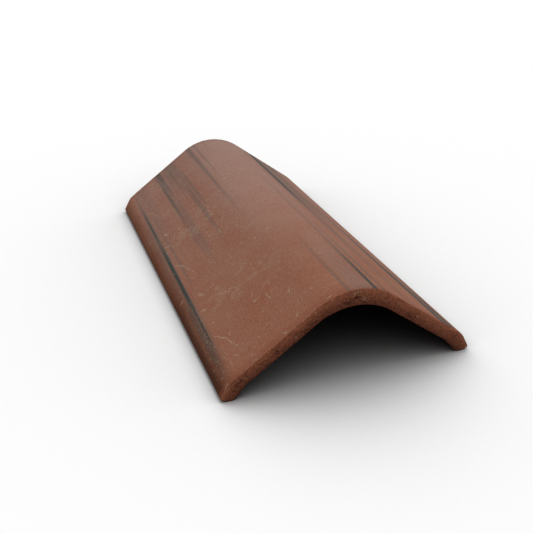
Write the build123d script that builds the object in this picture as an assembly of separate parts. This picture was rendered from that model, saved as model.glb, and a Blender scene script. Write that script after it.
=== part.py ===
from build123d import *

import math
import os

# A concrete ridge tile, extruded as one piece and cut square at both ends. Two flat legs meet in a
# rounded crown, and each leg ends in a lip that turns down towards the roof slope.
# The origin is on the floor below the middle of the tile. +Y runs along the ridge and +Z is up.

# Overall sizes, in millimetres, and angles in degrees
tile_length = 450.0  # along the ridge, end to end
lip_span = 249.0  # across the tile, between the sharp outer corners of its two lips
leg_slope = 36.2  # fall of each leg below the horizontal

# The legs and the crown
leg_thickness = 13.4
crown_outer_radius = 61.5
crown_inner_radius = 60.0  # nearly the outer one, so the crown is thicker than the legs

# The lips
lip_length = 18.4  # outside of a lip, from its sharp corner with the leg down to the toe
lip_outer_turn = 25.8  # how much steeper than the leg the outside of a lip falls
lip_inner_turn = 15.3  # how much steeper than the leg its inside falls
shoulder_radius = 22.0  # outside of the bend between leg and lip
inner_bend_radius = 25.0  # inside of the same bend

# The feet, which are the undersides of the lips
foot_width = 13.0  # from the toe's sharp corner to the heel's
foot_tilt = 14.4  # how far a foot rises outwards, from its heel to its toe
toe_radius = 1.9
heel_radius = 5.0  # the tile stands on its two heels

# The edges of the two cut ends
arris_radius = 0.8


def downhill(angle):
    """A unit vector in the section, pointing outwards and down at that many degrees."""
    return Vector(math.cos(math.radians(angle)), -math.sin(math.radians(angle)))


def crossing(start_a, along_a, start_b, along_b):
    """The point where two lines in the section meet, each given by a point and a direction."""
    reach = (start_b - start_a).cross(along_b).Z / along_a.cross(along_b).Z
    return start_a + along_a * reach


def half_section():
    """Sharp corners of the right half and the radius of each, from the crown's top round to its underside."""
    leg = downhill(leg_slope)
    lip_outside = downhill(leg_slope + lip_outer_turn)
    lip_inside = downhill(leg_slope + lip_inner_turn)
    straight_down = Vector(0, -1)

    toe = Vector(lip_span / 2, 0)
    shoulder = toe - lip_outside * lip_length
    crown_top = crossing(shoulder, leg, Vector(0, 0), straight_down)
    crown_under = crown_top + straight_down * (leg_thickness / leg.X)
    heel = toe - downhill(-foot_tilt) * foot_width
    inner_bend = crossing(crown_under, leg, heel, lip_inside)

    return [
        (crown_top, crown_outer_radius),
        (shoulder, shoulder_radius),
        (toe, toe_radius),
        (heel, heel_radius),
        (inner_bend, inner_bend_radius),
        (crown_under, crown_inner_radius),
    ]


def tile_section():
    """The whole section as a face, with X across the tile, Y up and its heels on Y = 0."""
    right = half_section()
    left = [(Vector(-corner.X, corner.Y), radius) for corner, radius in reversed(right[1:-1])]
    corners, radii = zip(*right, *left)
    section = make_face(FilletPolyline(*corners, radius=radii, close=True))
    return Pos(0, -section.bounding_box().min.Y) * section


def ridge_tile():
    """The section extruded both ways from the middle, with the edges of its cut ends eased."""
    tile = extrude(Plane.XZ * tile_section(), amount=tile_length / 2, both=True)
    edges_along = tile.edges().group_by(Axis.Y)
    return fillet(edges_along[0] + edges_along[-1], arris_radius)


os.makedirs("parts", exist_ok=True)
export_step(ridge_tile(), "parts/ridge_tile.step")
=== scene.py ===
import math

import bpy
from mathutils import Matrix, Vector


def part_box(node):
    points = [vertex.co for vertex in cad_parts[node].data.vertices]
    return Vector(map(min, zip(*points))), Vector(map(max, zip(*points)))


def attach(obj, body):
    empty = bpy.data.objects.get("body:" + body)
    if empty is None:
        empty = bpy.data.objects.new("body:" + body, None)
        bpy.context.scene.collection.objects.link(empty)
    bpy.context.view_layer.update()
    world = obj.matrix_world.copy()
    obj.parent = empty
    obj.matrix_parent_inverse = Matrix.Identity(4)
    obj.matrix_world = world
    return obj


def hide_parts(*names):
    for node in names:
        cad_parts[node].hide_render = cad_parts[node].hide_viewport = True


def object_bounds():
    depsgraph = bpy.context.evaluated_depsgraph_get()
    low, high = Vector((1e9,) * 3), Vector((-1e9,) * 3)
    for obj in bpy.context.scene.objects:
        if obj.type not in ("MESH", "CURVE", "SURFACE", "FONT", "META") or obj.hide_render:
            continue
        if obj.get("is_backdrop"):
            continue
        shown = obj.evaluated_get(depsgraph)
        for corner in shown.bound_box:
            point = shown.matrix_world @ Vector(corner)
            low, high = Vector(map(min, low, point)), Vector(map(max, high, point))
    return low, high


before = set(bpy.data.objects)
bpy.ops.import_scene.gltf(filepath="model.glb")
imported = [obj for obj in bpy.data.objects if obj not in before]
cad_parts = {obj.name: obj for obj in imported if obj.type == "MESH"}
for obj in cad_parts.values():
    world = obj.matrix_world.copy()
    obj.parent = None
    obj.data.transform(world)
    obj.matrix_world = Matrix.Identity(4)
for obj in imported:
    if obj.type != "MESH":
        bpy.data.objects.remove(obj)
cadLow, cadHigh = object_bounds()
tileLow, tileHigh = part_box("ridge_tile")
tileLengthMm = round((tileHigh.y - tileLow.y) * 1000, 1)
print("frame loaded: tile box", [round(side * 1000, 1) for side in tileHigh - tileLow], "mm")


def add(tree, kind, inputs=(), **settings):
    # inputs by place or by name; a node or socket is linked, anything else is set
    node = tree.nodes.new(kind)
    for name, value in settings.items():
        setattr(node, name, value)
    for key, value in inputs.items() if isinstance(inputs, dict) else enumerate(inputs):
        socket = node.inputs[key] if isinstance(key, int) else next(
            s for s in node.inputs if s.enabled and s.name == key
        )
        if isinstance(value, bpy.types.Node):
            value = next(s for s in value.outputs if s.enabled)
        if isinstance(value, bpy.types.NodeSocket):
            tree.links.new(value, socket)
        elif value is not None:
            socket.default_value = value
    return node


def colour(hexCode):
    # sRGB hex to linear RGBA
    parts = [int(hexCode[i:i + 2], 16) / 255 for i in (1, 3, 5)]
    return [c / 12.92 if c <= 0.04045 else ((c + 0.055) / 1.055) ** 2.4 for c in parts] + [1.0]


# The tile: its section, rounded in the node tree, then drawn out along the ridge
tile = {
    # section, in metres and degrees, as in the part's source
    "lipSpan": 0.249,
    "legSlope": 36.2,
    "legThickness": 0.0134,
    "crownOuterRadius": 0.0615,
    "crownInnerRadius": 0.060,
    "lipLength": 0.0184,
    "lipOuterTurn": 25.8,
    "lipInnerTurn": 15.3,
    "shoulderRadius": 0.022,
    "innerBendRadius": 0.025,
    "footWidth": 0.013,
    "footTilt": 14.4,
    "toeRadius": 0.0019,
    "heelRadius": 0.005,
    # how far the outer and the inner line run along the foot, as shares of its width
    "outerFootShare": 0.31,
    "innerFootShare": 0.35,
    # grid of the mesh: round the section, along the ridge, through the wall, and steps in a rounded corner
    "around": 480,
    "along": 70,
    "through": 28,
    "cornerSteps": 24,
    # relief, in metres, all of it cut inwards
    "arrisRadius": 0.00035,
    "lipArris": 4.0,  # times that at the lips
    "chipSize": 0.005,
    "chipDepth": 0.0002,
    "chipReach": 0.0016,
    "tearSize": 0.0065,
    "tearDepth": 0.00012,
    "tearReach": 0.006,  # the tearing dies out this far in from an end
    "gritSize": 0.0027,
    "gritDepth": 0.00035,
    "crumbRelief": 2.4,  # of a hollow's depth, for each grit size away from a crumb's middle
    "dragSize": 0.007,
    "dragDepth": 0.00012,
    "dragStretch": 0.03,  # how fast the ribs change along the ridge, against across it
    "endShift": 0.4,  # sets the patterns of the two ends apart
    "seed": 4,
    # torn hollows of the near end: across, up, radius and depth in mm
    "hollows": [
        (-110, 12, 9, 0.6),
        (-103, 20, 9, 0.8),
        (-73, 42, 7, 0.6),
        (-57, 54, 7, 0.3),
        (-42, 60, 9, 0.6),
        (-30, 68, 8, 0.5),
        (-8, 77, 7, 0.8),
        (1, 81, 8, 1.0),
        (9, 77, 7, 0.9),
        (53, 53, 9, 0.6),
        (62, 47, 10, 0.7),
        (107, 17, 8, 0.6),
    ],
}


def sectionLines(size, crownHeight):
    # sharp corners and bend radii of the outer and inner line, left foot to right foot
    def downhill(angle):
        return Vector((math.cos(math.radians(angle)), 0, -math.sin(math.radians(angle))))

    leg = downhill(size["legSlope"])
    lipInside = downhill(size["legSlope"] + size["lipInnerTurn"])
    foot = downhill(-size["footTilt"])
    toe = Vector((size["lipSpan"] / 2, 0, 0))
    heel = toe - foot * size["footWidth"]
    shoulder = toe - downhill(size["legSlope"] + size["lipOuterTurn"]) * size["lipLength"]
    crown = shoulder - leg * (shoulder.x / leg.x)
    crownUnder = crown - Vector((0, 0, size["legThickness"] / leg.x))
    # the inner leg line meets the inside of the lip
    gap = heel - crownUnder
    reach = (gap.x * lipInside.z - gap.z * lipInside.x) / (leg.x * lipInside.z - leg.z * lipInside.x)
    innerBend = crownUnder + leg * reach
    outer = [
        (toe - foot * (size["footWidth"] * size["outerFootShare"]), 0),
        (toe, size["toeRadius"]),
        (shoulder, size["shoulderRadius"]),
    ]
    inner = [
        (heel + foot * (size["footWidth"] * size["innerFootShare"]), 0),
        (heel, size["heelRadius"]),
        (innerBend, size["innerBendRadius"]),
    ]
    # the rounded crown's top is at the height of the CAD tile
    lift = crownHeight - crown.z + size["crownOuterRadius"] * (1 / leg.x - 1)
    middles = (crown, size["crownOuterRadius"]), (crownUnder, size["crownInnerRadius"])
    lines = []
    for half, middle in zip((outer, inner), middles):
        left = [(Vector((-point.x, 0, point.z)), bend) for point, bend in half]
        lines.append([(p + Vector((0, 0, lift)), bend) for p, bend in left + [middle] + half[::-1]])
    return lines


def buildTileTree(size):
    tree = bpy.data.node_groups.new("tileShape", "GeometryNodeTree")
    sockets = {
        "Geometry": ["Section"],
        "Int": ["Around", "Along", "Through", "Seed"],
        "Float": ["Length", "Arris Radius", "Chip Size", "Chip Depth", "Chip Reach", "Tear Size",
                  "Tear Depth", "Grit Size", "Grit Depth", "Drag Size", "Drag Depth"],
        "Material": ["Finish"],
    }
    for kind, names in sockets.items():
        for name in names:
            tree.interface.new_socket(name=name, in_out="INPUT", socket_type="NodeSocket" + kind)
    tree.interface.new_socket(name="Tile", in_out="OUTPUT", socket_type="NodeSocketGeometry")
    given = add(tree, "NodeGroupInput").outputs

    # a shell of quads, one unit each way: x runs round the section, y along the ridge, z through the wall
    shell = add(tree, "GeometryNodeMeshCube", {
        "Size": (1, 1, 1), "Vertices X": given["Around"], "Vertices Y": given["Along"],
        "Vertices Z": given["Through"],
    })
    unit = add(tree, "ShaderNodeSeparateXYZ", [add(tree, "GeometryNodeInputPosition")])
    round01 = add(tree, "ShaderNodeMath", [unit.outputs["X"], 0.5], operation="ADD")
    # rows through the wall crowd a little towards both rims: half evenly spread, half by a sine
    wave = add(tree, "ShaderNodeMath", [unit.outputs["Z"], math.pi], operation="MULTIPLY")
    wave = add(tree, "ShaderNodeMath", [wave], operation="SINE")
    wave = add(tree, "ShaderNodeMath", [wave, 0.5, unit.outputs["Z"]], operation="MULTIPLY_ADD")
    wallMiddle = add(tree, "ShaderNodeMath", [wave, 0.5], operation="MULTIPLY")
    wall01 = add(tree, "ShaderNodeMath", [wallMiddle, 0.5], operation="ADD")

    # rows crowd towards both ends, where the arris and the chips are
    turn = add(tree, "ShaderNodeMath", [unit.outputs["Y"], math.pi], operation="MULTIPLY")
    halfLength = add(tree, "ShaderNodeMath", [given["Length"], 2.0], operation="DIVIDE")
    swing = add(tree, "ShaderNodeMath", [turn], operation="SINE")
    along = add(tree, "ShaderNodeMath", [swing, halfLength], operation="MULTIPLY")
    endSign = add(tree, "ShaderNodeMath", [unit.outputs["Y"]], operation="SIGN")
    reachOut = add(tree, "ShaderNodeMath", [along], operation="ABSOLUTE")
    fromEnd = add(tree, "ShaderNodeMath", [halfLength, reachOut], operation="SUBTRACT")

    # the two section lines with rounded corners, read at the same share of their lengths
    lines = []
    places = []
    for inside in (0.0, 1.0):
        label = add(tree, "GeometryNodeInputNamedAttribute", {"Name": "inside"}, data_type="FLOAT")
        wanted = add(tree, "FunctionNodeCompare", {"A": label, "B": inside, "Epsilon": 0.1},
                     data_type="FLOAT", operation="EQUAL")
        edges = add(tree, "GeometryNodeSeparateGeometry", [given["Section"], wanted], domain="POINT")
        bend = add(tree, "GeometryNodeInputNamedAttribute", {"Name": "bend"}, data_type="FLOAT")
        line = add(tree, "GeometryNodeMeshToCurve", {"Mesh": edges})
        line = add(tree, "GeometryNodeFilletCurve", {
            "Curve": line, "Radius": bend, "Limit Radius": True, "Count": size["cornerSteps"],
        }, mode="POLY")
        point = add(tree, "GeometryNodeSampleCurve", {"Curves": line, "Factor": round01},
                    mode="FACTOR", use_all_curves=True)
        lines.append(line)
        places.append(point.outputs["Position"])
    outer, inner = places
    wall = add(tree, "ShaderNodeVectorMath", [outer, inner], operation="DISTANCE").outputs["Value"]
    sharp = add(tree, "ShaderNodeMix", {"Factor": wall01, "A": inner, "B": outer}, data_type="VECTOR")
    spot = add(tree, "ShaderNodeSeparateXYZ", [sharp])

    # noise over the section, different at the two ends
    endShift = add(tree, "ShaderNodeMath", [endSign, size["endShift"]], operation="MULTIPLY")
    endSpot = add(tree, "ShaderNodeCombineXYZ", [spot.outputs["X"], endShift, spot.outputs["Z"]])
    noises = {}
    for name, detail in ("Chip", 2.0), ("Tear", 3.0), ("Grit", 2.0):
        fineness = add(tree, "ShaderNodeMath", [1.0, given[name + " Size"]], operation="DIVIDE")
        noises[name] = add(tree, "ShaderNodeTexNoise", {
            "Vector": endSpot, "W": given["Seed"], "Scale": fineness, "Detail": detail,
        }, noise_dimensions="4D")

    # arris: the section shrinks in the last rows, and the end face falls back along its rim
    chip = add(tree, "ShaderNodeMapRange", {"Value": noises["Chip"], "From Min": 0.52, "From Max": 0.72},
               interpolation_type="SMOOTHSTEP")
    chip = add(tree, "ShaderNodeMath", [chip, given["Chip Depth"]], operation="MULTIPLY")
    fromOutside = add(tree, "ShaderNodeMath", [1.0, wall01], operation="SUBTRACT")
    nearRim = add(tree, "ShaderNodeMath", [fromOutside, wall01], operation="MINIMUM")
    fromRim = add(tree, "ShaderNodeMath", [nearRim, wall], operation="MULTIPLY")
    fromCrown = add(tree, "ShaderNodeMath", [unit.outputs["X"]], operation="ABSOLUTE")
    lipShare = add(tree, "ShaderNodeMapRange", {
        "Value": fromCrown, "From Min": 0.38, "From Max": 0.44, "To Min": 1.0, "To Max": size["lipArris"],
    })
    arris = add(tree, "ShaderNodeMath", [given["Arris Radius"], lipShare], operation="MULTIPLY")
    rounding = add(tree, "ShaderNodeMath", [arris, 1 - math.sqrt(0.5)], operation="MULTIPLY")
    cuts = []
    for away in fromEnd, fromRim:
        parts = []
        for depth, extent in (rounding, arris), (chip, given["Chip Reach"]):
            share = add(tree, "ShaderNodeMath", [away, extent], operation="DIVIDE")
            share = add(tree, "ShaderNodeMath", [1.0, share], operation="SUBTRACT", use_clamp=True)
            share = add(tree, "ShaderNodeMath", [share, 2.0], operation="POWER")
            parts.append(add(tree, "ShaderNodeMath", [share, depth], operation="MULTIPLY"))
        cuts.append(add(tree, "ShaderNodeMath", parts, operation="ADD"))
    rimCut, endCut = cuts

    # drag marks: shallow ribs drawn out along the ridge, none near the feet
    ribs = add(tree, "ShaderNodeMath", [1.0, given["Drag Size"]], operation="DIVIDE")
    slow = add(tree, "ShaderNodeMath", [along, size["dragStretch"]], operation="MULTIPLY")
    ribSpot = add(tree, "ShaderNodeCombineXYZ", [spot.outputs["X"], slow, spot.outputs["Z"]])
    drag = add(tree, "ShaderNodeTexNoise", {
        "Vector": ribSpot, "W": given["Seed"], "Scale": ribs, "Detail": 2.0,
    }, noise_dimensions="4D")
    aboveFoot = add(tree, "ShaderNodeMapRange", {
        "Value": spot.outputs["Z"], "From Min": 0.006, "From Max": 0.02,
    })
    drag = add(tree, "ShaderNodeMath", [drag, aboveFoot], operation="MULTIPLY")
    drag = add(tree, "ShaderNodeMath", [drag, given["Drag Depth"]], operation="MULTIPLY")
    inset = add(tree, "ShaderNodeMath", [rimCut, drag], operation="ADD")

    # torn end face: coarse tears, grit over them, and the hollows of the near end
    tear = add(tree, "ShaderNodeMapRange", {"Value": noises["Tear"], "From Min": 0.4, "From Max": 0.72},
               interpolation_type="SMOOTHSTEP")
    tear = add(tree, "ShaderNodeMath", [tear, given["Tear Depth"]], operation="MULTIPLY")
    grit = add(tree, "ShaderNodeMapRange", {"Value": noises["Grit"], "From Min": 0.3, "From Max": 0.7})
    grit = add(tree, "ShaderNodeMath", [grit, given["Grit Depth"]], operation="MULTIPLY")
    torn = add(tree, "ShaderNodeMath", [tear, grit], operation="ADD")
    # crumbs as big as the grit stand up in the hollows, with crevices between them
    fineness = add(tree, "ShaderNodeMath", [1.0, given["Grit Size"]], operation="DIVIDE")
    crumbs = add(tree, "ShaderNodeTexVoronoi", {"Vector": endSpot, "Scale": fineness}).outputs["Distance"]
    crumbs = add(tree, "ShaderNodeMath", [crumbs, size["crumbRelief"]], operation="MULTIPLY")
    for x, z, radius, depth in size["hollows"]:
        centre = (x / 1000, -size["endShift"], z / 1000)
        away = add(tree, "ShaderNodeVectorMath", [endSpot, centre], operation="DISTANCE").outputs["Value"]
        bowl = add(tree, "ShaderNodeMapRange", {
            "Value": away, "From Min": radius / 1000, "From Max": 0.0, "To Max": depth / 1000,
        }, interpolation_type="SMOOTHSTEP")
        bowl = add(tree, "ShaderNodeMath", [bowl, crumbs], operation="MULTIPLY")
        torn = add(tree, "ShaderNodeMath", [torn, bowl], operation="ADD")
    fade = add(tree, "ShaderNodeMapRange", {"Value": fromEnd, "From Min": size["tearReach"], "From Max": 0.0})
    tornHere = add(tree, "ShaderNodeMath", [torn, fade], operation="MULTIPLY")
    onEnd = add(tree, "FunctionNodeCompare", {"A": fromEnd, "B": 0.000001},
                data_type="FLOAT", operation="LESS_THAN")
    back = add(tree, "ShaderNodeMath", [endCut, onEnd], operation="MULTIPLY")
    back = add(tree, "ShaderNodeMath", [back, tornHere], operation="ADD")
    back = add(tree, "ShaderNodeMath", [back, endSign], operation="MULTIPLY")
    finalAlong = add(tree, "ShaderNodeMath", [along, back], operation="SUBTRACT")

    # the shrunk section
    shrink = add(tree, "ShaderNodeMath", [inset, wall], operation="DIVIDE")
    shrink = add(tree, "ShaderNodeMath", [shrink, -2.0, 1.0], operation="MULTIPLY_ADD")
    finalWall = add(tree, "ShaderNodeMath", [wallMiddle, shrink, 0.5], operation="MULTIPLY_ADD")
    flat = add(tree, "ShaderNodeMix", {"Factor": finalWall, "A": inner, "B": outer}, data_type="VECTOR")
    flat = add(tree, "ShaderNodeSeparateXYZ", [flat])
    place = add(tree, "ShaderNodeCombineXYZ", [flat.outputs["X"], finalAlong, flat.outputs["Z"]])

    # what the finish reads: mm round the outside from the crown, 1 on the end faces, 0 to 1 from the inside
    # of the wall to its outside, and mm torn away
    outerLength = add(tree, "GeometryNodeCurveLength", [lines[0]])
    across = add(tree, "ShaderNodeMath", [unit.outputs["X"], outerLength], operation="MULTIPLY")
    across = add(tree, "ShaderNodeMath", [across, 1000.0], operation="MULTIPLY")
    tornMm = add(tree, "ShaderNodeMath", [tornHere, 1000.0], operation="MULTIPLY")
    marks = {"acrossMm": across, "endFace": onEnd, "outside": wall01, "tornMm": tornMm}
    for name, value in marks.items():
        shell = add(tree, "GeometryNodeStoreNamedAttribute", {
            "Geometry": shell, "Name": name, "Value": value,
        }, data_type="FLOAT", domain="POINT")
    made = add(tree, "GeometryNodeSetPosition", {"Geometry": shell, "Position": place})
    made = add(tree, "GeometryNodeSetShadeSmooth", {"Geometry": made, "Shade Smooth": True})
    made = add(tree, "GeometryNodeRealizeInstances", {"Geometry": made})
    made = add(tree, "GeometryNodeSetMaterial", {"Geometry": made, "Material": given["Finish"]})
    add(tree, "NodeGroupOutput", {"Tile": made})
    return tree


def makeTile(finish):
    lines = sectionLines(tile, tileHigh.z)
    points = [entry for line in lines for entry in line]
    count = len(lines[0])
    edges = [(i, i + 1) for i in range(len(points) - 1) if i != count - 1]
    mesh = bpy.data.meshes.new("tileSection")
    mesh.from_pydata([point for point, bend in points], edges, [])
    mesh.attributes.new("bend", "FLOAT", "POINT").data.foreach_set("value", [bend for point, bend in points])
    mesh.attributes.new("inside", "FLOAT", "POINT").data.foreach_set(
        "value", [0.0 if i < count else 1.0 for i in range(len(points))])
    maker = bpy.data.objects.new("tileMaker", mesh)
    bpy.context.scene.collection.objects.link(maker)
    tree = buildTileTree(tile)
    # an input takes the value of the same name: Chip Size is chipSize
    values = {"Length": tileHigh.y - tileLow.y, "Finish": finish}
    for name, value in tile.items():
        label = "".join(" " + letter if letter.isupper() else letter for letter in name).title()
        values[label] = value
    modifier = maker.modifiers.new("tileShape", "NODES")
    modifier.node_group = tree
    for item in tree.interface.items_tree:
        if item.in_out == "INPUT" and item.name in values:
            modifier[item.identifier] = values[item.name]
    shaped = maker.evaluated_get(bpy.context.evaluated_depsgraph_get())
    piece = bpy.data.objects.new("ridgeTile", bpy.data.meshes.new_from_object(shaped))
    piece.data.name = "ridgeTile"
    maker.modifiers.remove(modifier)
    bpy.data.objects.remove(maker)
    bpy.context.scene.collection.objects.link(piece)
    print("tile meshed:", len(piece.data.vertices), "points,", len(piece.data.polygons), "quads")
    return piece


# Streaks of dark slurry drawn along the tile as it was extruded. Each row: mm across from the crown at the
# near end and at the far end, half width, where it starts and ends in mm from the near end, the fade at each
# of those, and how dark it is. First those that fray into threads, then the solid ones.
frayed = [
    (-122.5, -122, 1.8, 150, 385, 60, 60, 0.30),
    (-91.2, -92, 2.2, 245, 480, 130, 10, 0.60),
    (-88, -89, 5.0, 330, 480, 110, 10, 0.72),
    (-90, -89, 6.0, 175, 400, 70, 60, 0.18),
    (-71, -71, 10.0, 320, 480, 110, 10, 0.36),
    (-66.5, -66, 3.6, 180, 440, 150, 80, 0.28),
    (-60, -60, 1.8, 270, 430, 50, 50, 0.34),
    (-34, -35, 2.4, 190, 480, 230, 10, 0.40),
    (-25, -25.5, 1.6, 335, 480, 70, 10, 0.24),
    (-13, -12.5, 1.6, 400, 480, 50, 10, 0.24),
    (8, 8, 11.0, -20, 125, 10, 110, 0.18),
    (68, 65, 6.5, -20, 330, 60, 120, 0.20),
    (92, 90, 15.0, 195, 480, 120, 10, 0.42),
]
solid = [
    (-135.3, -130, 2.7, 45, 380, 110, 150, 0.92),
    (-135.3, -130, 1.9, 220, 470, 90, 140, 0.82),
    (-134.8, -130.6, 4.2, 180, 440, 90, 140, 0.38),
    (-138, -134, 6.0, 120, 420, 60, 160, 0.20),
    (-134.2, -133.2, 1.5, 15, 190, 70, 60, 0.88),
    (-133, -132, 4.0, 15, 200, 60, 80, 0.14),
    (-138.4, -137, 3.6, 5, 160, 45, 40, 0.58),
    (-34, -35, 3.8, 320, 480, 120, 10, 0.36),
    (-90, -90, 5.0, 360, 480, 100, 10, 0.40),
    (20, 23, 2.4, -20, 175, 10, 170, 0.93),
    (20.5, 23.5, 2.8, 40, 370, 60, 160, 0.18),
    (-6.3, -6, 1.8, -20, 145, 10, 120, 0.34),
    (30, 30, 2.4, -20, 195, 10, 150, 0.40),
    (65, 63.5, 8.5, 165, 480, 160, 10, 0.87),
    (-121, -120, 9.0, 230, 480, 100, 10, 0.08),
    (66.5, 65, 4.6, 60, 360, 130, 100, 0.50),
    (110, 104, 5.8, -20, 385, 10, 310, 0.88),
    (122, 121, 4.4, -20, 150, 10, 120, 1.0),
]

# In rows of the same kind: a dark brown band along the left lip's toe, a pale haze along the crown whose
# broad band, growing towards the far end, is painted sheen, and where the slurry on the left lip is worn
toeBand = [
    (-151.5, -152, 5.0, -5, 230, 25, 130, 0.36),
]
crownHazesAndSheen = [
    (6, 7, 10.0, -20, 175, 10, 70, 0.08),
    (-2, 3, 46.0, 10, 480, 300, 10, 0.13),
]
wornLip = [
    (-140, -136, 8.0, 0, 190, 30, 90, 1.0),
]

# Pale scuffs, as short strokes: mm across and along of one end, the same of the other end, half width and
# strength. The set comes again every scuffRepeat mm along the tile.
scuffs = [
    (-129, 69, -125.5, 64.5, 0.3, 0.64),
    (-125.5, 64.5, -121, 57, 0.35, 0.72),
    (-121, 57, -118.5, 49, 0.3, 0.64),
    (-118.5, 49, -116.5, 42, 0.35, 0.72),
    (-116.5, 42, -114, 33, 0.3, 0.48),
    (-114, 33, -112.2, 22, 0.25, 0.4),
    (-122.6, 58.5, -121, 56.5, 0.7, 0.72),
    (-117.8, 45, -117, 43, 0.6, 0.72),
    (-130.6, 36, -125.7, 17, 0.25, 0.32),
    (-115.8, 54, -112.8, 59, 0.4, 0.48),
    (-122, 142, -118, 140, 0.7, 0.8),
    (-120.5, 145, -119.5, 137, 0.5, 0.64),
    (-116, 134.5, -119, 138.5, 0.45, 0.48),
    (-113, 139, -103, 138.8, 0.4, 0.52),
    (-101.5, 126.5, -104.2, 129, 0.4, 0.56),
    (-104.2, 129.5, -101, 132.5, 0.45, 0.64),
    (-101, 133, -99, 130.5, 0.4, 0.56),
    (-129, 116, -122.5, 113.7, 0.55, 0.8),
    (-125.5, 114.5, -122.5, 113.5, 0.9, 0.72),
    (-131, 102.5, -126, 102, 0.4, 0.4),
    (-115, 105, -114.2, 103.5, 0.7, 0.64),
    (-123.5, 88.5, -122.5, 87.3, 0.7, 0.64),
    (-97.5, 96.5, -93.3, 100, 0.4, 0.48),
    (-94.4, 110.4, -91.4, 113.6, 0.6, 0.8),
    (-93.5, 111, -98, 114.5, 0.4, 0.56),
    (-97.5, 115, -95, 119, 0.45, 0.56),
    (-99, 113, -102.5, 118, 0.35, 0.48),
    (-104.5, 116.5, -103, 119, 0.5, 0.48),
    (-91.5, 113.5, -87, 110.5, 0.4, 0.48),
    (-86.8, 108.5, -83.2, 101, 0.35, 0.48),
    (-88.4, 95.6, -83.4, 96.4, 0.6, 0.56),
    (-71, 117.6, -65.5, 118, 0.45, 0.4),
    (-63, 117.4, -60.6, 112, 0.4, 0.56),
    (-55, 114.5, -48.5, 104, 0.3, 0.4),
    (-60.6, 120.5, -59.6, 126.5, 0.35, 0.48),
    (-79.6, 70, -77, 69, 0.8, 0.72),
    (-77, 69, -72.5, 70, 0.45, 0.56),
    (-71, 72, -61.5, 81, 0.3, 0.4),
    (-62.8, 80, -60.4, 82, 0.6, 0.48),
    (-79, 78.4, -77.8, 79.4, 0.6, 0.56),
    (-65.2, 56.5, -65.7, 60, 0.5, 0.72),
    (-66.5, 62.5, -65.8, 66, 0.5, 0.8),
    (-61.2, 64, -60.2, 65, 0.5, 0.48),
    (-57.4, 76.5, -57, 79.5, 0.45, 0.56),
    (-50, 39, -44.6, 52, 0.25, 0.4),
    (-48.2, 45, -44.8, 52, 0.4, 0.56),
    (-49.5, 48, -47.6, 45, 0.4, 0.48),
    (-39.5, 28.5, -36, 29, 0.5, 0.56),
    (-33.5, 29, -30, 28.5, 0.5, 0.48),
    (-27, 3, -22, 4.5, 0.6, 0.72),
    (-41.2, 81, -43, 86, 0.35, 0.32),
    (-75, 143, -74, 145.5, 0.45, 0.48),
    (-56, 11.5, -54.3, 13.2, 0.7, 0.48),
    (-107, 1, -106.4, 2.6, 0.6, 0.72),
    (-73, 2.4, -72.6, 4.2, 0.6, 0.72),
    (-41, 1.4, -40.4, 3.2, 0.6, 0.72),
    (-108.2, 9, -107.4, 10, 0.5, 0.56),
    (-105.4, 6.8, -104.8, 8, 0.5, 0.56),
    (-120.5, 26, -117.8, 22, 0.5, 0.48),
    (-95.7, 26, -92.2, 21, 0.4, 0.4),
    (-105, 34, -95, 38.8, 0.3, 0.24),
    (-95, 38.8, -84, 40, 0.3, 0.24),
    (-145.3, 2, -139, 2.7, 0.55, 0.8),
    (-144, 71.5, -142, 70, 0.5, 0.37),
    (-137.3, 72, -136.8, 68, 0.5, 0.37),
    (-134, 56, -133.5, 55, 0.6, 0.37),
    (-146, 33, -145, 31, 0.5, 0.37),
    (-138, 20, -136, 17.5, 0.45, 0.37),
    (-143, 16, -141, 14, 0.5, 0.37),
    (-144.5, 49.5, -143.2, 48.5, 0.5, 0.37),
    (-148.5, 22, -146.5, 19.5, 0.4, 0.31),
    (-139.5, 38, -137, 36.5, 0.4, 0.31),
]

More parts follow.
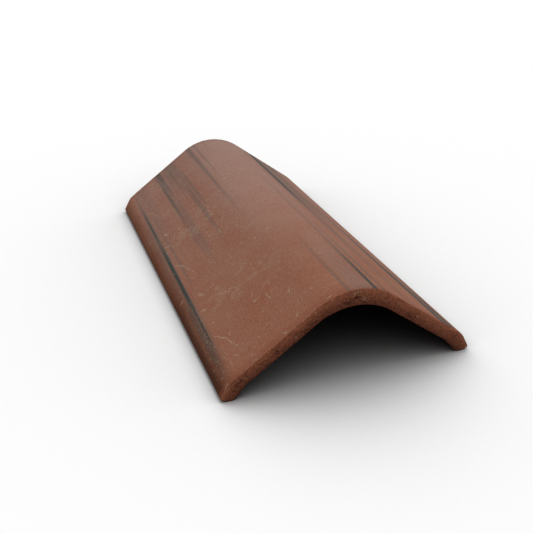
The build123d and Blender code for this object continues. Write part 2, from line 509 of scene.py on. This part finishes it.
# Crevices of the torn near end, as strokes of the same kind: mm across, and mm up from the inner edge
crevices = [
    (-144.2, 6.4, -143, 5.5, 0.4, 0.5),
    (-138.6, 8.6, -138, 6.0, 0.5, 0.8),
    (-136.1, 9.1, -135.2, 7.5, 0.4, 0.7),
    (-135.2, 7.0, -133, 5.2, 0.6, 1.0),
    (-131.4, 7.5, -130.2, 5.5, 0.5, 0.9),
    (-115.5, 3.5, -114, 1.3, 0.5, 0.4),
    (-92.4, 6.4, -91.4, 4.4, 0.4, 0.6),
    (-89.6, 8.0, -88.9, 4.4, 0.5, 0.8),
    (-91.7, 4.4, -89.9, 3.5, 0.4, 0.7),
    (-85.5, 2.9, -84.9, 1.3, 0.4, 0.5),
    (-60.5, 5.5, -57.4, 2.9, 0.4, 0.7),
    (-56.1, 3.9, -53, 1.3, 0.5, 0.8),
    (-58, 2.4, -55.5, 0.8, 0.4, 0.7),
    (-52.4, 6.4, -49.9, 3.9, 0.4, 0.6),
    (-48.4, 4.3, -46.5, 2.1, 0.4, 0.6),
    (-46.5, 5.2, -43.4, 2.1, 0.5, 0.7),
    (-42.8, 3.8, -39.6, 1.2, 0.5, 0.7),
    (-15.9, 3.8, -14, 1.7, 0.5, 0.8),
    (-14, 6.3, -11.5, 4.8, 0.4, 0.5),
    (-11.5, 4.3, -8.4, 3.8, 0.5, 0.9),
    (-9, 2.7, -4, 2.1, 0.5, 0.9),
    (-5.9, 3.8, -3.4, 2.1, 0.4, 0.8),
    (-2.8, 4.8, 0.4, 3.2, 0.5, 0.9),
    (-0.3, 5.8, 2.9, 5.2, 0.6, 1.0),
    (2.9, 9.9, 4.1, 8.8, 0.5, 0.7),
    (4.1, 6.8, 6.6, 5.8, 0.5, 0.8),
    (4.1, 3.8, 7.3, 3.2, 0.5, 0.9),
    (6, 2.1, 8.5, 1.2, 0.4, 0.8),
    (9.8, 1.7, 12.9, 0.9, 0.4, 0.7),
    (63.9, 2.5, 65.8, 1.5, 0.4, 0.7),
    (65.1, 4.6, 67.6, 5.1, 0.4, 0.7),
    (67, 3.5, 70.1, 2.9, 0.5, 0.9),
    (68.3, 6.6, 71.4, 7.1, 0.4, 0.6),
    (70.8, 4.6, 73.3, 3.9, 0.5, 0.8),
    (72.6, 2.0, 75.1, 1.5, 0.4, 0.8),
    (74.5, 5.1, 76.4, 4.6, 0.4, 0.6),
    (80.1, 3.5, 82.6, 2.9, 0.4, 0.4),
    (87, 6.0, 90.1, 6.6, 0.4, 0.5),
    (132, 7.6, 133.9, 6.0, 0.5, 0.9),
    (134.2, 7.1, 135.1, 5.1, 0.5, 0.9),
    (141.4, 7.6, 143.3, 8.2, 0.4, 0.5),
]

# The finish: colours, sizes in mm, and strengths from 0 to 1
concrete = {
    # body
    "red": "#864932",
    "tan": "#89533d",
    "cloudSize": 45.0,
    "dust": "#b0a48d",
    # pale dust in the pores, which also carries a painted sheen
    "dustAndSheenShare": 0.36,
    "grainSize": 1.1,  # drawn coarser than real, to show
    "farGrainSize": 2.0,  # and coarser still in the far half
    "speckSize": 1.5,
    "specks": 0.14,
    # painted sheen: the grey veil towards the far end and the pale band along the crown stand in for the
    # skin's reflection
    "sheenGrey": "#898989",
    "sheenFilm": 0.18,  # at the far end
    "bloomAndSheen": "#bfb0ab",
    "underTone": "#6b4a3a",
    "underShare": 0.25,
    # streaks, and the darker outsides of the lips
    "thinSlurry": "#58534f",
    "slurry": "#243634",
    "slurryCover": 0.72,  # below 1, thin slurry covers more
    "threadWidth": 2.4,
    "threadLength": 400.0,
    "raggedEnds": 160.0,
    "mottleSize": 1.8,
    "lipDark": "#4a1f00",
    "smearWidth": 4.0,
    "smearLength": 60.0,
    "smearReach": 8.0,  # how far the smears shift the edge of the grime
    "lipDarkRetreat": 0.02,  # mm for each mm along
    "toeDark": "#1c0f06",
    "wornSpeckSize": 1.4,
    "wornSpecks": 0.14,
    # scuffs, and a belt of hairlines among them
    "scuffRepeat": 153.2,
    "shakeSize": 2.2,
    "shake": 1.6,
    "breakSize": 1.3,
    "hairWidth": 2.2,
    "hairLength": 9.0,
    "hairTilt": -12,  # degrees
    "hairs": 0.38,
    "hairPatch": 16.0,
    "beltPlace": 95.0,
    "beltSlant": 0.2,
    # torn ends
    "sandSize": 1.6,  # drawn coarser than real, to show
    "endInner": "#5e2b18",
    "endOuter": "#a66246",
    # painted shade for the torn hollows and crevices
    "endShade": "#3a1206",
    "flecks": 0.11,
    "creviceShade": 0.52,
    "creviceWander": 1.6,
    "wanderSize": 1.5,
    "stone": "#c8a07a",
    "stoneCover": 0.5,
    # pale stones bared on the near end: across, up and radius of each group
    "baredStones": [(1.5, 84, 5.0), (9.5, 77.5, 5.0), (-55.5, 52, 2.2), (-101, 21, 3.0), (64.5, 48.5, 2.2)],
    "cornerTone": 0.55,  # between endInner and endOuter
    "worn": "#b98367",
    # relief too fine for the mesh, as shares of bumpHeight
    "bumpHeight": 2.0,
    "skinGrain": 0.15,
    "sandDents": 0.4,
    "creviceDents": 0.8,
    # shader
    "roughness": 0.9,
    "ior": 1.5,
    "specular": 0.18,
}

# Where each look comes in or goes out: from and to, then its strength at each, 0 and 1 if not given
zones = {
    # mm along, from the near end
    "farHalf": (90.0, 240.0),
    "film": (60.0, 450.0),
    "farScuffs": (300.0, 330.0, 1.0, 0.5),
    "frontEnd": (20.0, 10.0),
    # mm along, from the middle of the tile towards either end
    "offEnd": (224.0, 213.0, 0.3),
    "byEnd": (214.0, 225.0, 1.0, 0.9),
    "corner": (216.0, 225.0),
    "edge": (223.4, 224.6, 0.0, 0.5),
    # mm across, from the crown towards either lip
    "offLip": (146.0, 126.0),
    "onLip": (128.0, 142.0, 0.0, 0.65),
    "lipDark": (132.5, 153.5, 0.0, 0.94),
    "foot": (125.0, 150.0, 1.0, 0.8),
    # mm across, minus on the left
    "leftLeg": (0.0, -60.0),
    "aboveLip": (-133.0, -120.0),
    # mm away from the middle of the belt of hairlines
    "belt": (45.0, 10.0),
    # mm torn away
    "deep": (0.8, 1.8, 0.0, 0.2),
    # share of the wall, from inside to outside
    "onTop": (0.4, 0.6),
    "rim": (0.94, 0.99),
}
zones = {name: dict(zip(("From Min", "From Max", "To Min", "To Max"), row)) for name, row in zones.items()}


def drawBands(tree, rows, across, along):
    # full out to 0.45 of the half width, gone at 1.35
    bands = None
    for near, far, halfWidth, start, stop, fadeIn, fadeOut, depth in rows:
        centre = add(tree, "ShaderNodeMapRange", {
            "Value": along, "From Max": tileLengthMm, "To Min": near, "To Max": far,
        })
        off = add(tree, "ShaderNodeMath", [across, centre], operation="SUBTRACT")
        off = add(tree, "ShaderNodeMath", [off], operation="ABSOLUTE")
        band = add(tree, "ShaderNodeMapRange", {
            "Value": off, "From Min": halfWidth * 1.35, "From Max": halfWidth * 0.45, "To Max": depth,
        }, interpolation_type="SMOOTHSTEP")
        fades = []
        for edge, full in (start, start + fadeIn), (stop, stop - fadeOut):
            fades.append(add(tree, "ShaderNodeMapRange", {
                "Value": along, "From Min": edge, "From Max": full,
            }, interpolation_type="SMOOTHSTEP"))
        for fade in fades:
            band = add(tree, "ShaderNodeMath", [band, fade], operation="MULTIPLY")
        bands = add(tree, "ShaderNodeMath", [bands, band], operation="MAXIMUM") if bands else band
    return bands


def drawStrokes(tree, rows, spot):
    # no Mapping and no clamped Math here: with this many strokes they overfill the shader, and the tile
    # renders black
    strokes = None
    for x0, y0, x1, y1, halfWidth, strength in rows:
        run = Vector((x1 - x0, y1 - y0, 0.0))
        fromStart = add(tree, "ShaderNodeVectorMath", [spot, (x0, y0, 0.0)], operation="SUBTRACT")
        perRun = run / run.length_squared
        share = add(tree, "ShaderNodeVectorMath", [fromStart, perRun], operation="DOT_PRODUCT")
        share = add(tree, "ShaderNodeMath", [share.outputs["Value"], 0.0], operation="MAXIMUM")
        share = add(tree, "ShaderNodeMath", [share, 1.0], operation="MINIMUM")
        nearest = add(tree, "ShaderNodeVectorMath", {"Vector": run, "Scale": share}, operation="SCALE")
        away = add(tree, "ShaderNodeVectorMath", [fromStart, nearest], operation="DISTANCE").outputs["Value"]
        stroke = add(tree, "ShaderNodeMapRange", {
            "Value": away, "From Min": halfWidth * 1.5, "From Max": halfWidth * 0.4, "To Max": strength,
        }, interpolation_type="SMOOTHSTEP")
        strokes = add(tree, "ShaderNodeMath", [strokes, stroke], operation="MAXIMUM") if strokes else stroke
    return strokes


def buildConcrete():
    # extruded, through-coloured concrete: a matt red-brown skin, smooth from the extruder, with fine grain,
    # smeared slurry streaks and pale scuffs on top, and a painted sheen laid into its colour; the cut ends
    # are torn and gritty, with painted shade darkening their hollows and crevices
    material = bpy.data.materials.new("extrudedStreakedConcrete")
    material.use_nodes = True
    tree = material.node_tree
    tree.nodes.clear()
    tint = {name: colour(code) for name, code in concrete.items() if str(code).startswith("#")}
    metres = add(tree, "ShaderNodeTexCoord").outputs["Object"]
    mm = add(tree, "ShaderNodeVectorMath", {"Vector": metres, "Scale": 1000.0}, operation="SCALE")
    spot = add(tree, "ShaderNodeSeparateXYZ", [mm])
    along = add(tree, "ShaderNodeMath", [spot.outputs["Y"], tileLengthMm / 2], operation="ADD")
    across, endFace, outside, torn = [
        add(tree, "ShaderNodeAttribute", attribute_name=name).outputs["Fac"]
        for name in ("acrossMm", "endFace", "outside", "tornMm")
    ]
    skin = add(tree, "ShaderNodeCombineXYZ", [across, along])

    # body colour, cloudy, with pale dust in its pores, which also carries a painted sheen, the skin's whitish
    # reflection laid into colour, and here and there a speck of it
    cloud = add(tree, "ShaderNodeTexNoise", {"Vector": mm, "Scale": 1 / concrete["cloudSize"], "Detail": 3.0})
    cloud = add(tree, "ShaderNodeMapRange", {"Value": cloud, "From Min": 0.35, "From Max": 0.65})
    body = add(tree, "ShaderNodeMix", {"Factor": cloud, "A": tint["red"], "B": tint["tan"]}, data_type="RGBA")
    grains = []
    for size in "grainSize", "farGrainSize":
        grains.append(add(tree, "ShaderNodeTexNoise", {
            "Vector": mm, "Scale": 1 / concrete[size], "Detail": 3.0, "Roughness": 0.7,
        }))
    farHalf = add(tree, "ShaderNodeMapRange", {"Value": along, **zones["farHalf"]})
    grain = add(tree, "ShaderNodeMix", {"Factor": farHalf, "A": grains[0], "B": grains[1]}, data_type="FLOAT")
    fromCrown = add(tree, "ShaderNodeMath", [across], operation="ABSOLUTE")
    dustAndSheen = add(tree, "ShaderNodeMapRange", {
        "Value": grain, "From Min": 0.4, "From Max": 0.75, "To Max": concrete["dustAndSheenShare"],
    })
    reach = add(tree, "ShaderNodeMath", [spot.outputs["Y"]], operation="ABSOLUTE")
    offEnd = add(tree, "ShaderNodeMapRange", {"Value": reach, **zones["offEnd"]})
    dustAndSheen = add(tree, "ShaderNodeMath", [dustAndSheen, offEnd], operation="MULTIPLY")
    body = add(tree, "ShaderNodeMix", {"Factor": dustAndSheen, "A": body, "B": tint["dust"]}, data_type="RGBA")
    speck = add(tree, "ShaderNodeTexVoronoi", {"Vector": mm, "Scale": 1 / concrete["speckSize"]})
    speck = add(tree, "ShaderNodeSeparateColor", [speck.outputs["Color"]])
    speck = add(tree, "ShaderNodeMapRange", {
        "Value": speck.outputs["Red"], "From Min": 0.95, "From Max": 0.97, "To Max": concrete["specks"],
    })
    body = add(tree, "ShaderNodeMix", {"Factor": speck, "A": body, "B": tint["dust"]}, data_type="RGBA")

    # painted sheen: a grey veil that thickens to the far end, none on the lips, and a pale band along the
    # crown, the skin's reflection laid into colour
    film = add(tree, "ShaderNodeMapRange", {
        "Value": along, **zones["film"], "To Max": concrete["sheenFilm"],
    })
    offLip = add(tree, "ShaderNodeMapRange", {"Value": fromCrown, **zones["offLip"]})
    film = add(tree, "ShaderNodeMath", [film, offLip], operation="MULTIPLY")
    top = add(tree, "ShaderNodeMix", {"Factor": film, "A": body, "B": tint["sheenGrey"]}, data_type="RGBA")
    hazeAndSheen = drawBands(tree, crownHazesAndSheen, across, along)
    top = add(tree, "ShaderNodeMix", {"Factor": hazeAndSheen, "A": top, "B": tint["bloomAndSheen"]}, data_type="RGBA")

    # streaks: grey where thin, nearly black where thick, frayed into threads that end raggedly
    threadScale = (1 / concrete["threadWidth"], 1 / concrete["threadLength"], 1.0)
    stretched = add(tree, "ShaderNodeMapping", {"Vector": skin, "Scale": threadScale})
    thread = add(tree, "ShaderNodeTexNoise", {"Vector": stretched, "Scale": 1.0, "Detail": 2.0})
    threadTone = add(tree, "ShaderNodeMapRange", {
        "Value": thread, "From Min": 0.35, "From Max": 0.65, "To Min": 0.35, "To Max": 1.5,
    }, clamp=False)
    raggedEnds = concrete["raggedEnds"]
    ragged = add(tree, "ShaderNodeMath", [thread, raggedEnds, -raggedEnds / 2], operation="MULTIPLY_ADD")
    ragged = add(tree, "ShaderNodeMath", [along, ragged], operation="ADD")
    mottle = add(tree, "ShaderNodeTexNoise", {
        "Vector": skin, "Scale": 1 / concrete["mottleSize"], "Detail": 2.0,
    })
    mottle = add(tree, "ShaderNodeMapRange", {
        "Value": mottle, "From Min": 0.35, "From Max": 0.65, "To Min": 0.85, "To Max": 1.1,
    })
    dark = drawBands(tree, frayed, across, ragged)
    dark = add(tree, "ShaderNodeMath", [dark, threadTone], operation="MULTIPLY")
    dark = add(tree, "ShaderNodeMath", [dark, drawBands(tree, solid, across, along)], operation="MAXIMUM")
    dark = add(tree, "ShaderNodeMath", [dark, mottle], operation="MULTIPLY", use_clamp=True)
    thick = add(tree, "ShaderNodeMapRange", {"Value": dark, "From Min": 0.35, "From Max": 0.95})
    slurry = add(tree, "ShaderNodeMix", {
        "Factor": thick, "A": tint["thinSlurry"], "B": tint["slurry"],
    }, data_type="RGBA")
    cover = add(tree, "ShaderNodeMath", [dark, concrete["slurryCover"]], operation="POWER")
    top = add(tree, "ShaderNodeMix", {"Factor": cover, "A": top, "B": slurry}, data_type="RGBA")

    # the outsides of the lips darker, smeared along, more towards the toe, less towards the far end
    smearScale = (1 / concrete["smearWidth"], 1 / concrete["smearLength"], 1.0)
    smear = add(tree, "ShaderNodeMapping", {"Vector": skin, "Scale": smearScale})
    smear = add(tree, "ShaderNodeTexNoise", {"Vector": smear, "Scale": 1.0, "Detail": 3.0})
    lip = add(tree, "ShaderNodeMath", [smear, concrete["smearReach"], fromCrown], operation="MULTIPLY_ADD")
    lip = add(tree, "ShaderNodeMath", [along, -concrete["lipDarkRetreat"], lip], operation="MULTIPLY_ADD")
    lipDark = add(tree, "ShaderNodeMapRange", {"Value": lip, **zones["lipDark"]})
    top = add(tree, "ShaderNodeMix", {"Factor": lipDark, "A": top, "B": tint["lipDark"]}, data_type="RGBA")
    # a dark brown band along the left lip's toe
    toeDarkening = drawBands(tree, toeBand, across, along)
    top = add(tree, "ShaderNodeMix", {"Factor": toeDarkening, "A": top, "B": tint["toeDark"]}, data_type="RGBA")

    # pale scuffs: the strokes of the table, made uneven and broken by noise
    lap = add(tree, "ShaderNodeMath", [along, concrete["scuffRepeat"], 0.0], operation="WRAP")
    shaky = add(tree, "ShaderNodeTexNoise", {
        "Vector": skin, "Scale": 1 / concrete["shakeSize"], "Detail": 3.0, "Roughness": 0.65,
    })
    noiseMiddle = (0.5, 0.5, 0.5)
    shaky = add(tree, "ShaderNodeVectorMath", [shaky.outputs["Color"], noiseMiddle], operation="SUBTRACT")
    shake = (concrete["shake"], concrete["shake"], 0.0)
    shaky = add(tree, "ShaderNodeVectorMath", [shaky, shake], operation="MULTIPLY")
    strokeSpot = add(tree, "ShaderNodeCombineXYZ", [across, lap])
    strokeSpot = add(tree, "ShaderNodeVectorMath", [strokeSpot, shaky], operation="ADD")
    scuff = drawStrokes(tree, scuffs, strokeSpot)
    # and finer hairlines round them, in patches along a belt across the left leg
    hairTurn = (0, 0, math.radians(concrete["hairTilt"]))
    hairScale = (1 / concrete["hairLength"], 1 / concrete["hairWidth"], 1.0)
    hair = add(tree, "ShaderNodeMapping", {"Vector": strokeSpot, "Rotation": hairTurn, "Scale": hairScale})
    hair = add(tree, "ShaderNodeTexNoise", {"Vector": hair, "Scale": 1.0, "Detail": 3.0, "Roughness": 0.6})
    hair = add(tree, "ShaderNodeMath", [hair, 0.5], operation="SUBTRACT")
    hair = add(tree, "ShaderNodeMath", [hair], operation="ABSOLUTE")
    hair = add(tree, "ShaderNodeMapRange", {
        "Value": hair, "From Min": 0.05, "From Max": 0.02, "To Max": concrete["hairs"],
    })
    patch = add(tree, "ShaderNodeTexNoise", {
        "Vector": strokeSpot, "Scale": 1 / concrete["hairPatch"], "Detail": 2.0,
    })
    patch = add(tree, "ShaderNodeMapRange", {"Value": patch, "From Min": 0.5, "From Max": 0.62})
    belt = add(tree, "ShaderNodeMath", [across, concrete["beltSlant"], lap], operation="MULTIPLY_ADD")
    belt = add(tree, "ShaderNodeMath", [belt, concrete["beltPlace"]], operation="SUBTRACT")
    belt = add(tree, "ShaderNodeMath", [belt], operation="ABSOLUTE")
    belt = add(tree, "ShaderNodeMapRange", {"Value": belt, **zones["belt"]})
    leftLeg = add(tree, "ShaderNodeMapRange", {"Value": across, **zones["leftLeg"]})
    aboveLip = add(tree, "ShaderNodeMapRange", {"Value": across, **zones["aboveLip"]})
    for share in patch, belt, leftLeg, aboveLip:
        hair = add(tree, "ShaderNodeMath", [hair, share], operation="MULTIPLY")
    scuff = add(tree, "ShaderNodeMath", [scuff, hair], operation="MAXIMUM")
    broken = add(tree, "ShaderNodeTexNoise", {
        "Vector": skin, "Scale": 1 / concrete["breakSize"], "Detail": 2.0,
    })
    broken = add(tree, "ShaderNodeMapRange", {
        "Value": broken, "From Min": 0.42, "From Max": 0.54, "To Min": 0.1,
    })
    scuff = add(tree, "ShaderNodeMath", [scuff, broken], operation="MULTIPLY")
    farFade = add(tree, "ShaderNodeMapRange", {"Value": along, **zones["farScuffs"]})
    scuff = add(tree, "ShaderNodeMath", [scuff, farFade], operation="MULTIPLY")
    top = add(tree, "ShaderNodeMix", {"Factor": scuff, "A": top, "B": tint["dust"]}, data_type="RGBA")

    # pale specks where the slurry on the left lip is worn, near the front
    crumb = add(tree, "ShaderNodeTexVoronoi", {"Vector": skin, "Scale": 1 / concrete["wornSpeckSize"]})
    crumb = add(tree, "ShaderNodeSeparateColor", [crumb.outputs["Color"]])
    crumb = add(tree, "ShaderNodeMapRange", {
        "Value": crumb.outputs["Green"], "From Min": 0.7, "From Max": 0.95, "To Max": concrete["wornSpecks"],
    })
    onBand = drawBands(tree, wornLip, across, along)
    crumb = add(tree, "ShaderNodeMath", [crumb, onBand], operation="MULTIPLY")
    top = add(tree, "ShaderNodeMix", {"Factor": crumb, "A": top, "B": tint["dust"]}, data_type="RGBA")

    # underside: the same body, plain and a little duller
    under = add(tree, "ShaderNodeMix", {
        "Factor": concrete["underShare"], "A": body, "B": tint["underTone"],
    }, data_type="RGBA")
    onTop = add(tree, "ShaderNodeMapRange", {"Value": outside, **zones["onTop"]})
    skinColour = add(tree, "ShaderNodeMix", {"Factor": onTop, "A": under, "B": top}, data_type="RGBA")

    # torn ends: darker towards the inner edge, grains of sand, crevices, a few pale stones in the hollows
    end = add(tree, "ShaderNodeMix", {
        "Factor": outside, "A": tint["endInner"], "B": tint["endOuter"],
    }, data_type="RGBA")
    sand = add(tree, "ShaderNodeTexVoronoi", {"Vector": mm, "Scale": 1 / concrete["sandSize"]})
    sandTone = add(tree, "ShaderNodeSeparateColor", [sand.outputs["Color"]])
    sandShade = add(tree, "ShaderNodeMapRange", {
        "Value": sandTone.outputs["Red"], "To Min": 0.74, "To Max": 1.32,
    })
    gritFine = add(tree, "ShaderNodeTexNoise", {
        "Vector": mm, "Scale": 1 / concrete["sandSize"], "Detail": 3.0, "Roughness": 0.7,
    })
    # painted shade, partly dirt: each grain of sand darkens towards its border
    creviceDirtAndShade = add(tree, "ShaderNodeMapRange", {
        "Value": sand.outputs["Distance"], "From Min": 0.3, "From Max": 0.75, "To Min": 1.05, "To Max": 0.84,
    })
    crumbly = add(tree, "ShaderNodeMapRange", {
        "Value": gritFine, "From Min": 0.3, "From Max": 0.7, "To Min": 0.8, "To Max": 1.22,
    })
    foot = add(tree, "ShaderNodeMapRange", {"Value": fromCrown, **zones["foot"]})
    for shade in sandShade, creviceDirtAndShade, crumbly, foot:
        end = add(tree, "ShaderNodeMix", {"Factor": 1.0, "A": end, "B": shade}, data_type="RGBA",
                  blend_type="MULTIPLY")
    fleck = add(tree, "ShaderNodeMapRange", {
        "Value": grains[0], "From Min": 0.45, "From Max": 0.75, "To Max": concrete["flecks"],
    })
    end = add(tree, "ShaderNodeMix", {"Factor": fleck, "A": end, "B": tint["dust"]}, data_type="RGBA")
    # the crevices of the table, on the near end only; painted shade darkens them and the deeper torn hollows
    frontEnd = add(tree, "ShaderNodeMapRange", {"Value": along, **zones["frontEnd"]})
    upWall = add(tree, "ShaderNodeMath", [outside, tile["legThickness"] * 1000], operation="MULTIPLY")
    tornSpot = add(tree, "ShaderNodeCombineXYZ", [across, upWall])
    wander = add(tree, "ShaderNodeTexNoise", {
        "Vector": mm, "Scale": 1 / concrete["wanderSize"], "Detail": 2.0,
    })
    wander = add(tree, "ShaderNodeVectorMath", [wander.outputs["Color"], noiseMiddle], operation="SUBTRACT")
    stray = (concrete["creviceWander"], concrete["creviceWander"], 0.0)
    wander = add(tree, "ShaderNodeVectorMath", [wander, stray], operation="MULTIPLY")
    tornSpot = add(tree, "ShaderNodeVectorMath", [tornSpot, wander], operation="ADD")
    crack = drawStrokes(tree, crevices, tornSpot)
    crack = add(tree, "ShaderNodeMath", [crack, frontEnd], operation="MULTIPLY")
    deep = add(tree, "ShaderNodeMapRange", {"Value": torn, **zones["deep"]})
    deep = add(tree, "ShaderNodeMath", [crack, concrete["creviceShade"], deep], operation="MULTIPLY_ADD")
    end = add(tree, "ShaderNodeMix", {"Factor": deep, "A": end, "B": tint["endShade"]}, data_type="RGBA")
    stone = add(tree, "ShaderNodeMapRange", {
        "Value": sandTone.outputs["Green"], "From Min": 0.5, "From Max": 0.65,
    })
    bared = None
    for x, z, radius in concrete["baredStones"]:
        centre = (x, -tileLengthMm / 2, z)
        away = add(tree, "ShaderNodeVectorMath", [mm, centre], operation="DISTANCE").outputs["Value"]
        cluster = add(tree, "ShaderNodeMapRange", {
            "Value": away, "From Min": radius, "From Max": radius * 0.3, "To Max": concrete["stoneCover"],
        }, interpolation_type="SMOOTHSTEP")
        bared = add(tree, "ShaderNodeMath", [bared, cluster], operation="MAXIMUM") if bared else cluster
    stone = add(tree, "ShaderNodeMath", [stone, bared], operation="MULTIPLY")
    end = add(tree, "ShaderNodeMix", {"Factor": stone, "A": end, "B": tint["stone"]}, data_type="RGBA")
    # the skin darkens a little towards the ends, and the torn look runs round the corner of a lip
    byEnd = add(tree, "ShaderNodeMapRange", {"Value": reach, **zones["byEnd"]})
    skinColour = add(tree, "ShaderNodeMix", {"Factor": 1.0, "A": skinColour, "B": byEnd}, data_type="RGBA",
                     blend_type="MULTIPLY")
    corner = add(tree, "ShaderNodeMapRange", {"Value": reach, **zones["corner"]})
    onLip = add(tree, "ShaderNodeMapRange", {"Value": fromCrown, **zones["onLip"]})
    corner = add(tree, "ShaderNodeMath", [corner, onLip], operation="MULTIPLY")
    unscuffed = add(tree, "ShaderNodeMath", [1.0, scuff], operation="SUBTRACT")
    corner = add(tree, "ShaderNodeMath", [corner, unscuffed], operation="MULTIPLY")
    cornerTone = add(tree, "ShaderNodeMix", {
        "Factor": concrete["cornerTone"], "A": tint["endInner"], "B": tint["endOuter"],
    }, data_type="RGBA")
    skinColour = add(tree, "ShaderNodeMix", {
        "Factor": corner, "A": skinColour, "B": cornerTone,
    }, data_type="RGBA")
    finalColour = add(tree, "ShaderNodeMix", {"Factor": endFace, "A": skinColour, "B": end}, data_type="RGBA")
    # worn pale along the outer arris of the left leg, here and there
    rim = add(tree, "ShaderNodeMapRange", {"Value": outside, **zones["rim"]})
    edge = add(tree, "ShaderNodeMapRange", {"Value": reach, **zones["edge"]})
    worn = rim
    for share in edge, broken, leftLeg:
        worn = add(tree, "ShaderNodeMath", [worn, share], operation="MULTIPLY")
    finalColour = add(tree, "ShaderNodeMix", {
        "Factor": worn, "A": finalColour, "B": tint["worn"],
    }, data_type="RGBA")

    # bump: grain on the skin, sharper grit and the crevices on the ends
    skinHeight = add(tree, "ShaderNodeMath", [grain, concrete["skinGrain"]], operation="MULTIPLY")
    endHeight = add(tree, "ShaderNodeMath", [sand.outputs["Distance"], -concrete["sandDents"], gritFine],
                    operation="MULTIPLY_ADD")
    endHeight = add(tree, "ShaderNodeMath", [crack, -concrete["creviceDents"], endHeight],
                    operation="MULTIPLY_ADD")
    height = add(tree, "ShaderNodeMix", {
        "Factor": endFace, "A": skinHeight, "B": endHeight,
    }, data_type="FLOAT")
    bump = add(tree, "ShaderNodeBump", {
        "Height": height, "Strength": 1.0, "Distance": concrete["bumpHeight"] / 1000,
    })
    shader = add(tree, "ShaderNodeBsdfPrincipled", {
        "Base Color": finalColour, "Roughness": concrete["roughness"], "IOR": concrete["ior"],
        "Specular IOR Level": concrete["specular"], "Normal": bump,
    })
    add(tree, "ShaderNodeOutputMaterial", {"Surface": shader})
    print("finish built:", len(tree.nodes), "nodes")
    return material


# The studio: a pale floor, a white surround and one broad soft lamp high behind the tile
studio = {
    "floorSize": 40.0,
    "shadeReach": 1.0,  # metres, of the contact shadow
    "shadeSamples": 16,
    "floorShade": 1.2,  # how much the contact shadow deepens
    "floorBounce": 0.3,
    "surround": 0.72,
    "lampStrength": 1.0,
    "lampAngle": 80,
    "lampElevation": 62,
    "lampAzimuth": 25,
    # the photograph's view, in metres and degrees
    "lens": 50.14,
    "cameraPlace": (-0.26288, -0.72162, 0.39699),
    "cameraDown": 27.19,
    "cameraTurn": 20.01,  # off the ridge
}


def seenDirectly(tree):
    # 1 for what the camera sees, in reflections and through glass too
    path = add(tree, "ShaderNodeLightPath").outputs
    seen = add(tree, "ShaderNodeMath", [path["Is Camera Ray"], path["Is Glossy Ray"]], operation="MAXIMUM")
    return add(tree, "ShaderNodeMath", [seen, path["Is Transmission Ray"]], operation="MAXIMUM")


def makeStudio():
    scene = bpy.context.scene
    half = studio["floorSize"] / 2
    mesh = bpy.data.meshes.new("floor")
    corners = [(-half, -half, 0), (half, -half, 0), (half, half, 0), (-half, half, 0)]
    mesh.from_pydata(corners, [], [(0, 1, 2, 3)])
    floor = bpy.data.objects.new("floor", mesh)
    scene.collection.objects.link(floor)
    # white paper with a painted contact shadow: its colour darkens where it sees little of the room
    paper = bpy.data.materials.new("whitePaper")
    paper.use_nodes = True
    tree = paper.node_tree
    tree.nodes.clear()
    open01 = add(tree, "ShaderNodeAmbientOcclusion", {"Distance": studio["shadeReach"]},
                 samples=studio["shadeSamples"])
    shade = add(tree, "ShaderNodeMath", [open01.outputs["AO"], studio["floorShade"]], operation="POWER")
    # seen white, but greyer for the light it throws back on the tile
    tone = add(tree, "ShaderNodeMapRange", {"Value": seenDirectly(tree), "To Min": studio["floorBounce"]})
    shade = add(tree, "ShaderNodeMath", [shade, tone], operation="MULTIPLY")
    diffuse = add(tree, "ShaderNodeBsdfDiffuse", {"Color": shade})
    add(tree, "ShaderNodeOutputMaterial", {"Surface": diffuse})
    mesh.materials.append(paper)
    floor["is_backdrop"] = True

    world = bpy.data.worlds.new("studio")
    scene.world = world
    world.use_nodes = True
    tree = world.node_tree
    tree.nodes.clear()
    level = add(tree, "ShaderNodeMapRange", {
        "Value": seenDirectly(tree), "To Min": studio["surround"], "To Max": 1.0,
    })
    light = add(tree, "ShaderNodeBackground", {"Color": (1, 1, 1, 1), "Strength": level})
    add(tree, "ShaderNodeOutputWorld", {"Surface": light})

    lamp = bpy.data.lights.new("softLamp", "SUN")
    lamp.energy = studio["lampStrength"]
    lamp.angle = math.radians(studio["lampAngle"])
    lampObject = bpy.data.objects.new("softLamp", lamp)
    tilt = math.radians(90 - studio["lampElevation"])
    lampObject.rotation_euler = (-tilt, 0, -math.radians(studio["lampAzimuth"]))
    scene.collection.objects.link(lampObject)

    camera = bpy.data.objects.new("camera", bpy.data.cameras.new("camera"))
    camera.data.lens = studio["lens"]
    camera.location = studio["cameraPlace"]
    cameraTilt = math.radians(90 - studio["cameraDown"])
    camera.rotation_euler = (cameraTilt, 0, -math.radians(studio["cameraTurn"]))
    scene.collection.objects.link(camera)
    scene.camera = camera
    scene.view_settings.view_transform = "Standard"
    print("studio set")


ridgeTile = makeTile(buildConcrete())
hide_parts("ridge_tile")
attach(ridgeTile, "root")
makeStudio()

newLow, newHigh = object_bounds()
gaps = [round((a - b) * 1000, 2) for a, b in zip([*newLow, *newHigh], [*cadLow, *cadHigh])]
print("bounds differ by", gaps, "mm")
